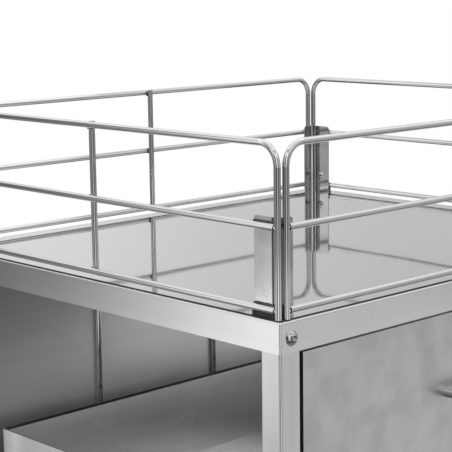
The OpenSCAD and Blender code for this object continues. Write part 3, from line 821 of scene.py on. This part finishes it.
@dataclass
class Deck(Group):
    """The railed deck and the lower shelf: their pans, the mirror plate and the stiffeners.

    Attributes:
        edge_shadow_w: Width of the dark band round the mirror plate, a painted shadow of the plate's edge.
        edge_shadow_h: Height of that band.
        plate_r: Corner radius of the mirror plate.
        spot_r: Radius of a spot weld.
        spot_h: Height that a spot weld stands above the sheet.
        spot_count: Number of spot welds along one brim.
        spot_end: Distance of the outermost spot welds from the brim's ends.
        stiffener_w: Width of a stiffener with its brims.
        brim: Width of a stiffener's brim.
        sheet: Thickness of the sheet.
    """

    edge_shadow_w: float = 0.9 * MM
    edge_shadow_h: float = 0.9 * MM
    plate_r: float = 2.0 * MM
    spot_r: float = 2.6 * MM
    spot_h: float = 0.22 * MM
    spot_count: int = 11
    spot_end: float = 12.0 * MM
    stiffener_w: float = 60.0 * MM
    brim: float = 15.0 * MM
    sheet: float = 1.2 * MM

    def dress(self) -> None:
        """Gives the CAD nodes their finishes."""
        dress(self.finishes.rim, "deck_pan", "lower_shelf")
        dress(self.finishes.deck_mirror, "deck_plate")
        dress(self.finishes.tube_along_x, "pan_stiffeners")

    def build(self) -> None:
        """Builds the dark band that paints the shadow round the plate, and the spot welds."""
        self._plate_joint()
        self._spot_welds()

    def _plate_joint(self) -> None:
        """Builds a dark band round the mirror plate, a painted shadow of the plate's edge."""
        low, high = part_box("deck_plate")
        builder = Builder()
        mesh = builder.mesh
        size = high - low
        centre = Vector(((low.x + high.x) / 2, (low.y + high.y) / 2, low.z))
        sizes = Matrix.Diagonal((size.x + 2 * self.edge_shadow_w, size.y + 2 * self.edge_shadow_w, 1.0, 1.0))
        bmesh.ops.create_grid(mesh, x_segments=1, y_segments=1, size=0.5,
                              matrix=Matrix.Translation(centre) @ sizes)
        bmesh.ops.bevel(mesh, geom=list(mesh.verts), affect="VERTICES", segments=6,
                        offset=self.plate_r + self.edge_shadow_w, offset_type="OFFSET", profile=0.5, material=-1)
        band = set(bmesh.ops.inset_region(mesh, faces=list(mesh.faces), thickness=self.edge_shadow_w,
                                          use_boundary=True, use_even_offset=True)["faces"])
        inner = [face for face in mesh.faces if face not in band]
        bmesh.ops.delete(mesh, geom=inner, context="FACES")
        raised = bmesh.ops.extrude_face_region(mesh, geom=list(mesh.faces))["geom"]
        lifted = [item for item in raised if isinstance(item, bmesh.types.BMVert)]
        bmesh.ops.translate(mesh, verts=lifted, vec=Z_AXIS * self.edge_shadow_h)
        # painted shadow: the dark band stands where the plate's edge only casts shade
        builder.piece("deck_plate_joint", "frame", self.finishes.joint)

    def _spot_welds(self) -> None:
        """Builds the rows of spot welds on the stiffeners' brims."""
        low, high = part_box("pan_stiffeners")
        builder = Builder()
        half = self.brim / 2
        front, rear = low.y + self.stiffener_w, high.y - self.stiffener_w
        reach = (high.x - low.x) / 2 - self.spot_end
        middle = (low.x + high.x) / 2
        for top in (high.z, high.z - (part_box("deck_pan")[1].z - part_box("lower_shelf")[1].z)):
            for row in (low.y + half, front - half, rear + half, high.y - half):
                for step in range(self.spot_count):
                    along = middle + reach * (2 * step / (self.spot_count - 1) - 1)
                    spot = Vector((along, row, top - self.sheet))
                    builder.blob(spot, X_AXIS, Z_AXIS, (self.spot_r, self.spot_r, self.spot_h))
        builder.piece("stiffener_spot_welds", "frame", self.finishes.tint)


@dataclass
class GuardRails(Group):
    """The four welded wire rails and the welds that hold them.

    Attributes:
        wire_d: Diameter of the wire.
        mid_drop: Drop from the top wire to the middle wire.
        low_drop: Drop from the top wire to the low wire.
        bead: Radius of the weld beads.
        ring: Distance of an end's ring of weld from the upright's middle, and its radius, in wire radii.
        uneven: Share by which such a ring's thickness wanders.
        lap: Distances of the lapped upright's welds from the crossing along the rail and inward, in
            wire radii.
        lap_half: Half length of such a weld in wire radii, and half its width and height in beads.
        rises: Heights of such welds above a wire's middle, in wire radii.
        top_rises: The same at the top wire, where the upright ends.
    """

    wire_d: float = 6.2 * MM
    mid_drop: float = 72.0 * MM
    low_drop: float = 144.5 * MM
    bead: float = 0.75 * MM
    ring: tuple[float, float] = (0.86, 0.94)
    uneven: float = 0.25
    lap: tuple[float, float] = (0.92, 0.9)
    lap_half: Triple = (0.65, 1.3, 1.5)
    rises: tuple[float, float] = (-0.5, 0.5)
    top_rises: tuple[float, float] = (-0.9, -0.3)

    def dress(self) -> None:
        """Gives the CAD nodes their finish."""
        dress(self.finishes.wire, *(f"guard_rail_{side}" for side in ("front", "rear", "left", "right")))

    def build(self) -> None:
        """Builds the welds of every rail."""
        self._welds("front", X_AXIS, Y_AXIS, 1)
        self._welds("rear", X_AXIS, -Y_AXIS, 2)
        self._welds("left", Y_AXIS, X_AXIS, 3)
        self._welds("right", Y_AXIS, -X_AXIS, 4)

    def _welds(self, side: str, along: Vector, inward: Vector, seed: int) -> None:
        """Builds the welds of one rail.

        Args:
            side: Name of the rail's side.
            along: Direction of its long wires.
            inward: Direction towards the middle of the deck.
            seed: Seed of the welds' unevenness.
        """
        low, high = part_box(f"guard_rail_{side}")
        radius = self.wire_d / 2
        builder = Builder(seed)
        outer = low if sum(inward) > 0 else high
        line = inward * (outer.dot(inward) + radius)
        first, last = low.dot(along) + radius, high.dot(along) - radius
        top = high.z - radius
        heights = (top, top - self.mid_drop, top - self.low_drop)
        for height in heights[1:]:
            for end, sign in ((first, 1), (last, -1)):
                centre = line + along * (end + sign * radius * self.ring[0]) + Z_AXIS * height
                builder.ring(centre, along, radius * self.ring[1], self.bead, self.uneven)
        middle = (first + last) / 2
        half = (radius * self.lap_half[0], self.bead * self.lap_half[1], self.bead * self.lap_half[2])
        for height in heights:
            for sign in (-1, 1):
                lap = along * (middle + sign * radius * self.lap[0]) + inward * radius * self.lap[1]
                for rise in self.top_rises if height == top else self.rises:
                    builder.blob(line + lap + Z_AXIS * (height + rise * radius), Z_AXIS, inward, half)
        builder.piece(f"rail_welds_{side}", "frame", self.finishes.burnt)


@dataclass
class Brackets(Group):
    """The corner brackets with their screws, pads and tack welds.

    Attributes:
        wire_drop: Drop from a bracket's top edge to the middle wire.
        wire_rise: Rise from a bracket's foot to the low wire.
        wire_r: Radius of the wires.
        bead: Radius of a weld seam.
        bead_out: Distance of a seam's middle outside the bracket's face.
        bend: Distance of a seam's start from the bracket's outer corner.
        seam_short: Distance of a seam's end from the long leg's edge.
        seed: Seed of the seams' unevenness.
    """

    wire_drop: float = 8.0 * MM
    wire_rise: float = 7.5 * MM
    wire_r: float = 3.1 * MM
    bead: float = 1.5 * MM
    bead_out: float = 0.6 * MM
    bend: float = 7.5 * MM
    seam_short: float = 1.0 * MM
    seed: int = 10

    def dress(self) -> None:
        """Gives the CAD nodes their finishes."""
        dress(self.finishes.bracket, *(f"bracket_{corner.label}" for corner in Corner))
        dress(self.finishes.bracket, "bracket_screws")
        dress(self.finishes.black_plastic, "bracket_pads")

    def build(self) -> None:
        """Builds the weld seams on top of the wires, along each bracket's long leg."""
        for corner in Corner:
            builder = Builder(self.seed)
            sign_x, sign_y = corner.value
            low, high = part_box(f"bracket_{corner.label}")
            face = (low.x if sign_x < 0 else high.x) + sign_x * self.bead_out
            near, far = (low.y, high.y) if sign_y < 0 else (high.y, low.y)
            for wire in (high.z - self.wire_drop, low.z + self.wire_rise):
                start = Vector((face, near - sign_y * self.bend, wire + self.wire_r))
                end = Vector((face, far + sign_y * self.seam_short, wire + self.wire_r))
                builder.seam(start, end, Z_AXIS, self.bead, self.bead)
            builder.piece(f"bracket_seams_{corner.label}", "frame", self.finishes.burnt)


@dataclass
class Frame(Group):
    """Posts, cross rails, the back of the bay and what fastens them.

    Attributes:
        seam_w: Half width of a weld seam.
        seam_h: Half height of a weld seam.
        inset: Distance of a seam's ends from the tube's faces.
        seed: Seed of the seams' unevenness.
    """

    seam_w: float = 1.6 * MM
    seam_h: float = 0.9 * MM
    inset: float = 3.5 * MM
    seed: int = 20

    def dress(self) -> None:
        """Gives the CAD nodes their finishes."""
        dress(self.finishes.post, *(f"post_{corner.label}" for corner in Corner))
        dress(self.finishes.tube_along_x, "front_rail", "rear_rail")
        dress(self.finishes.tube_along_y, "side_rail_left", "side_rail_right")
        dress(self.finishes.back_sheet, "back_panel")
        dress(self.finishes.wire, "back_rods")
        dress(self.finishes.screw, "frame_screws")
        dress(self.finishes.zinc, "weld_nuts")
        dress(self.finishes.black_plastic, "post_plugs")

    def build(self) -> None:
        """Builds the weld seams above and below each rail's ends."""
        builder = Builder(self.seed)
        for rail in ("side_rail_left", "side_rail_right"):
            self._seams(builder, rail, Y_AXIS, X_AXIS)
        for rail in ("front_rail", "rear_rail"):
            self._seams(builder, rail, X_AXIS, Y_AXIS)
        builder.piece("frame_weld_seams", "frame", self.finishes.tint)

    def _seams(self, builder: Builder, rail: str, along: Vector, across: Vector) -> None:
        """Adds the seams of one rail.

        Args:
            builder: Mesh that takes the seams.
            rail: The rail's node.
            along: Direction of the rail.
            across: Direction across it, in the horizontal plane.
        """
        low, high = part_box(rail)
        near, far = low.dot(across) + self.inset, high.dot(across) - self.inset
        for end in (low.dot(along), high.dot(along)):
            for height, up in ((low.z, -Z_AXIS), (high.z, Z_AXIS)):
                origin = along * end + Z_AXIS * height
                builder.seam(origin + across * near, origin + across * far, up, self.seam_w, self.seam_h)


@dataclass
class Drawer(Group):
    """The drawer with its handle and telescopic slides.

    Attributes:
        box_drop: Drop from the deck to the drawer box's rim.
        hem_t: Thickness of the drawer box's rolled hem.
        hem_shadow_h: Height of the dark strip over the top of the rear hem, a painted shadow of the hem's
            fold.
        hem_shadow_t: Thickness of that strip.
        hem_shadow_r: Radius of its edges.
        web_t: Thickness of a slide member's web.
        screw_r: Radius of a slide screw's head.
        screw_h: Height of a slide screw's head.
        screw_places: Distances of the slide screws from the slide's front end.
    """

    box_drop: float = 210.0 * MM
    hem_t: float = 2.6 * MM
    hem_shadow_h: float = 1.8 * MM
    hem_shadow_t: float = 0.5 * MM
    hem_shadow_r: float = 0.4 * MM
    web_t: float = 1.2 * MM
    screw_r: float = 3.6 * MM
    screw_h: float = 2.0 * MM
    screw_places: tuple[float, ...] = (35.0 * MM, 160.0 * MM, 290.0 * MM, 415.0 * MM)

    def dress(self) -> None:
        """Gives the CAD nodes their finishes."""
        dress(self.finishes.front, "drawer_front")
        dress(self.finishes.inner_sheet, "drawer_box")
        dress(self.finishes.wire, "drawer_handle")
        dress(self.finishes.screw, "handle_screws")
        for side in ("left", "right"):
            dress(self.finishes.zinc, *(f"slide_{part}_{side}" for part in ("outer", "middle", "inner")))

    def build(self) -> None:
        """Builds the dark strip that paints the shadow along the rear hem's top, and the screws that hold the
        inner slide members.
        """
        self._hem_trim()
        for side, sign in (("left", -1), ("right", 1)):
            low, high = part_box(f"slide_inner_{side}")
            web = (high.x if sign < 0 else low.x) + sign * (self.web_t + self.screw_h / 2)
            builder = Builder()
            for place in self.screw_places:
                head = Vector((web, low.y + place, (low.z + high.z) / 2))
                builder.disc(head, X_AXIS * sign, self.screw_r, self.screw_h)
            builder.piece(f"slide_screws_{side}", "drawer", self.finishes.screw)

    def _hem_trim(self) -> None:
        """Builds a dark strip along the top of the drawer box's rear hem, a painted shadow of the hem's fold.
        """
        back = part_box("drawer_box")[1].y
        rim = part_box("deck_pan")[1].z - self.box_drop
        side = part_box("slide_inner_right")[0].x - self.hem_t
        builder = Builder()
        # painted shadow: a dark strip where the rear hem's fold only casts shade
        builder.block(Vector((-side, back - self.hem_t - self.hem_shadow_t, rim - self.hem_shadow_h)),
                      Vector((side, back + self.hem_shadow_t, rim + self.hem_shadow_t)), self.hem_shadow_r)
        builder.piece("rear_hem_shadow_strip", "drawer", self.finishes.joint)


@dataclass
class Castors(Group):
    """The four swivel castors, of which the front two have brakes.

    Attributes:
        ring_r: Radius of the raised ring on a tyre's side.
        ring_bead: Radius of that ring's bead.
        ring_sink: Depth of the bead's middle under the tyre's side.
        rib_count: Number of ribs across a brake pedal's treadle.
        rib_pitch: Distance from rib to rib.
        rib_w: Width of a rib.
        rib_h: Height that a rib stands above the treadle.
        rib_r: Radius of a rib's edges.
        rib_margin: Distance of a rib's ends from the treadle's sides.
        tip_margin: Distance from the treadle's tip to the first rib.
    """

    ring_r: float = 42.0 * MM
    ring_bead: float = 0.5 * MM
    ring_sink: float = 0.1 * MM
    rib_count: int = 5
    rib_pitch: float = 2.3 * MM
    rib_w: float = 1.1 * MM
    rib_h: float = 0.6 * MM
    rib_r: float = 0.33 * MM
    rib_margin: float = 3.0 * MM
    tip_margin: float = 2.6 * MM

    def dress(self) -> None:
        """Gives the CAD nodes their finishes."""
        for corner in Corner:
            dress(self.finishes.zinc, *(f"{part}_{corner.label}" for part in ("swivel_head", "fork", "axle")))
            dress(self.finishes.nylon, f"wheel_core_{corner.label}")
            dress(self.finishes.rubber, f"tyre_{corner.label}")
            if corner.braked:
                dress(self.finishes.black_coat, f"brake_pedal_{corner.label}")

    def build(self) -> None:
        """Builds the tyres' side rings and the brake pedals' ribs."""
        for corner in Corner:
            low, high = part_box(f"tyre_{corner.label}")
            builder = Builder()
            for side in (low.y + self.ring_sink, high.y - self.ring_sink):
                centre = Vector(((low.x + high.x) / 2, side, (low.z + high.z) / 2))
                builder.ring(centre, Y_AXIS, self.ring_r, self.ring_bead)
            builder.piece(f"tyre_rings_{corner.label}", f"wheel_{corner.label}",
                          self.finishes.rubber)
            if corner.braked:
                self._pedal_ribs(corner)

    def _pedal_ribs(self, corner: Corner) -> None:
        """Builds the ribs across a brake pedal's treadle, which points to the trolley's middle.

        Args:
            corner: The castor's corner.
        """
        low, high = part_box(f"brake_pedal_{corner.label}")
        inward = -corner.value[0]
        tip = high.x if inward > 0 else low.x
        reach = Vector((self.rib_w / 2, (high.y - low.y) / 2 - self.rib_margin, self.rib_h))
        builder = Builder()
        for step in range(self.rib_count):
            along = tip - inward * (self.tip_margin + step * self.rib_pitch)
            centre = Vector((along, (low.y + high.y) / 2, high.z))
            builder.block(centre - reach, centre + reach, self.rib_r)
        builder.piece(f"pedal_ribs_{corner.label}", f"brake_{corner.label}",
                      self.finishes.black_coat)


@dataclass
class Studio:
    """Pale floor, soft overhead light and the surroundings that the steel mirrors.

    Attributes:
        floor_r: Radius of the floor.
        floor_sink: Depth of the floor under the wheels, so that they don't share a plane.
        floor_colour: Colour of the floor near the trolley.
        floor_fade: Distances between which the floor turns white.
        slanting: Range of the floor's slant as the steel sees it, with its level at either end.
        close: Range of distances, with the level that the steel sees at least at either end.
        soft_size: Side of the overhead softbox.
        soft_height: Height of the softbox.
        soft_power: Power of the softbox in watts.
        diffuse_level: Level of the surroundings for dull surfaces.
        key_share: Share by which that level rises towards +X and falls towards -X.
        peak: Level that the brightest stop of the surroundings stands for.
        surroundings: Levels round the horizon for the steel, by azimuth in degrees.
        heights: Share of that level by the sine of the elevation.
        ceiling: Sines of the elevation between which the ceiling takes over.
        overhead: Level of the ceiling above the horizon's band.
        zenith: Level straight above, behind the softbox.
        zenith_fade: Sines of the elevation between which the ceiling falls to that level.
    """

    floor_r: float = 2.4
    floor_sink: float = 0.3 * MM
    floor_colour: tuple[float, ...] = (0.80, 0.80, 0.80, 1.0)
    floor_fade: tuple[float, ...] = (0.9, 1.9)
    slanting: tuple[float, ...] = (0.30, 0.78, 0.14, 0.85)
    close: tuple[float, ...] = (0.60, 0.84, 0.46, 0.0)
    soft_size: float = 2.4
    soft_height: float = 2.6
    soft_power: float = 20.0
    diffuse_level: float = 0.75
    key_share: float = 0.5
    peak: float = 2.0
    surroundings: tuple[tuple[float, float], ...] = (
        (-180, 1.25), (-172, 0.50), (-165, 0.10), (-147, 0.10), (-139, 0.90), (-130, 2.0), (-120, 2.0),
        (-113, 0.70), (-107, 0.16), (-90, 0.50), (-76, 0.78), (-41, 0.86), (-10, 0.78),
        (20, 0.66), (40, 0.70), (47, 0.78), (54, 0.95), (70, 0.90), (92, 0.60), (115, 0.28),
        (124.3, 0.25), (127.2, 0.45), (128.8, 0.68), (130.3, 0.98), (132.3, 1.40), (134.5, 1.75),
        (139, 1.55), (146, 0.30), (150, 0.10), (160, 0.12), (173, 1.70))
    heights: tuple[tuple[float, float], ...] = (
        (-1.0, 0.25), (-0.36, 0.45), (-0.285, 0.80), (-0.25, 1.0), (-0.215, 1.0), (-0.185, 0.56),
        (-0.14, 0.44), (-0.085, 0.46), (-0.04, 0.80), (0.05, 0.85), (0.12, 0.95), (0.40, 1.0))
    ceiling: tuple[float, ...] = (0.40, 0.62)
    overhead: float = 1.5
    zenith: float = 0.35
    zenith_fade: tuple[float, ...] = (0.66, 0.84)

    def build(self) -> None:
        """Builds the floor, the softbox and the surroundings."""
        self._floor()
        self._softbox()
        self._world()

    def _floor(self) -> None:
        """Builds the floor: pale and shadowed near the trolley, white far away."""
        mesh = bmesh.new()
        bmesh.ops.create_circle(mesh, cap_ends=True, segments=96, radius=self.floor_r,
                                matrix=Matrix.Translation(-Z_AXIS * self.floor_sink))
        data = bpy.data.meshes.new("studio_floor")
        mesh.to_mesh(data)
        mesh.free()
        data.materials.append(self._floor_material())
        add_object("studio_floor", data)
        LOG.info("built the floor")

    def _floor_material(self) -> Material:
        """Returns the floor's material, which the steel mirrors at a level of its own."""
        material = bpy.data.materials.new("studio_floor")
        material.use_nodes = True
        material.cycles.emission_sampling = "NONE"
        graph = Graph(material.node_tree)
        place = graph.add("ShaderNodeTexCoord").outputs["Object"]
        distance = graph.fed("ShaderNodeVectorMath", {0: place}, "Value", operation="LENGTH")
        slant = graph.add("ShaderNodeLayerWeight").outputs["Facing"]
        level = graph.math("MAXIMUM", graph.remap(slant, *self.slanting), graph.remap(distance, *self.close))
        white = graph.fed("ShaderNodeEmission", {"Color": WHITE})
        mirrored = graph.fed("ShaderNodeEmission", {"Color": WHITE, "Strength": level})
        clear = graph.add("ShaderNodeBsdfTransparent").outputs["BSDF"]
        glossy = graph.add("ShaderNodeLightPath").outputs["Is Glossy Ray"]
        behind = graph.add("ShaderNodeNewGeometry").outputs["Backfacing"]
        look = graph.fed("ShaderNodeBsdfDiffuse", {"Color": self.floor_colour})
        for share, cover in ((graph.remap(distance, *self.floor_fade), white), (glossy, mirrored),
                             (behind, clear)):
            look = graph.fed("ShaderNodeMixShader", {0: share, 1: look, 2: cover})
        graph.wire(look, graph.add("ShaderNodeOutputMaterial").inputs["Surface"])
        return material

    def _softbox(self) -> None:
        """Builds the overhead softbox."""
        light = bpy.data.lights.new("softbox", "AREA")
        light.size = self.soft_size
        light.energy = self.soft_power
        add_object("softbox", light).location = (0.0, 0.0, self.soft_height)
        LOG.info("built the softbox")

    def _world(self) -> None:
        """Builds the surroundings: white for the camera, graded round the horizon for the steel."""
        world = bpy.data.worlds.new("studio_surroundings")
        bpy.context.scene.world = world
        world.use_nodes = True
        world.cycles.sampling_method = "NONE"
        graph = Graph(world.node_tree)
        direction = graph.add("ShaderNodeTexCoord").outputs["Generated"]
        rise = graph.part(direction, "Z")
        azimuth = graph.fed("ShaderNodeTexGradient", {"Vector": direction}, "Fac", gradient_type="RADIAL")
        stops = [(angle / 360 + 0.5, level / self.peak) for angle, level in self.surroundings]
        around = graph.ramp(azimuth, [*stops, (1.0, stops[0][1])])
        above = graph.ramp(graph.math("MULTIPLY_ADD", rise, 0.5, 0.5),
                           [(sine / 2 + 0.5, share) for sine, share in self.heights])
        band = graph.math("MULTIPLY", graph.math("MULTIPLY", around, above), self.peak)
        ceiling = graph.remap(rise, *self.ceiling)
        band = graph.math("MULTIPLY", band, graph.math("SUBTRACT", 1.0, ceiling))
        overhead = graph.remap(rise, *self.zenith_fade, self.overhead, self.zenith)
        mirrored = graph.math("MULTIPLY_ADD", ceiling, overhead, band)
        path = graph.add("ShaderNodeLightPath").outputs
        glossy = path["Is Glossy Ray"]
        keyed = graph.math("MULTIPLY_ADD", graph.part(direction, "X"), self.key_share * self.diffuse_level,
                           self.diffuse_level)
        lit = graph.math("MULTIPLY", graph.math("SUBTRACT", 1.0, glossy), keyed)
        lit = graph.math("MULTIPLY_ADD", glossy, mirrored, lit)
        plain = graph.math("MAXIMUM", path["Is Camera Ray"], path["Is Transmission Ray"])
        level = graph.math("MULTIPLY_ADD", graph.math("SUBTRACT", 1.0, plain), lit, plain)
        background = graph.fed("ShaderNodeBackground", {"Color": WHITE, "Strength": level})
        graph.wire(background, graph.add("ShaderNodeOutputWorld").inputs["Surface"])
        LOG.info("built the surroundings")


@dataclass
class PhotoCamera:
    """Camera at the photograph's viewing angle.

    Attributes:
        place: Its position.
        lens: Focal length in millimetres.
        sensor: Width of its sensor in millimetres.
        nearest: Distance under which it sees nothing.
        yaw: Heading from +X towards +Y, in degrees.
        pitch: Angle below the horizon, in degrees.
        roll: Turn about the line of sight, in degrees.
    """

    place: Triple = (-1.15057, -1.09663, 1.12021)
    lens: float = 114.67
    sensor: float = 36.0
    nearest: float = 0.02
    yaw: float = 46.8141
    pitch: float = 9.7512
    roll: float = 0.8368

    def build(self) -> None:
        """Makes the camera and gives it to the scene."""
        yaw, pitch, roll = (math.radians(angle) for angle in (self.yaw, self.pitch, self.roll))
        forward = Vector((math.cos(yaw) * math.cos(pitch), math.sin(yaw) * math.cos(pitch), -math.sin(pitch)))
        right = Vector((math.sin(yaw), -math.cos(yaw), 0.0))
        down = forward.cross(right)
        across = right * math.cos(roll) + down * math.sin(roll)
        below = down * math.cos(roll) - right * math.sin(roll)
        data = bpy.data.cameras.new("photo_camera")
        data.lens = self.lens
        data.sensor_width = self.sensor
        data.clip_start = self.nearest
        camera = add_object("photo_camera", data)
        turn = Matrix((across, -below, -forward)).transposed().to_4x4()
        camera.matrix_world = Matrix.Translation(self.place) @ turn
        bpy.context.scene.camera = camera
        LOG.info("placed the camera")


def main() -> None:
    """Builds the studio and every group of the trolley in order."""
    logging.basicConfig(level=logging.INFO, format="%(name)s: %(message)s")
    bpy.context.scene.view_settings.view_transform = "Standard"
    PhotoCamera().build()
    Studio().build()
    finishes = Finishes(SharedEffects())
    for group in (Deck(finishes), GuardRails(finishes), Brackets(finishes), Frame(finishes),
                  Drawer(finishes), Castors(finishes)):
        group.dress()
        group.build()


if __name__ == "__main__":
    main()
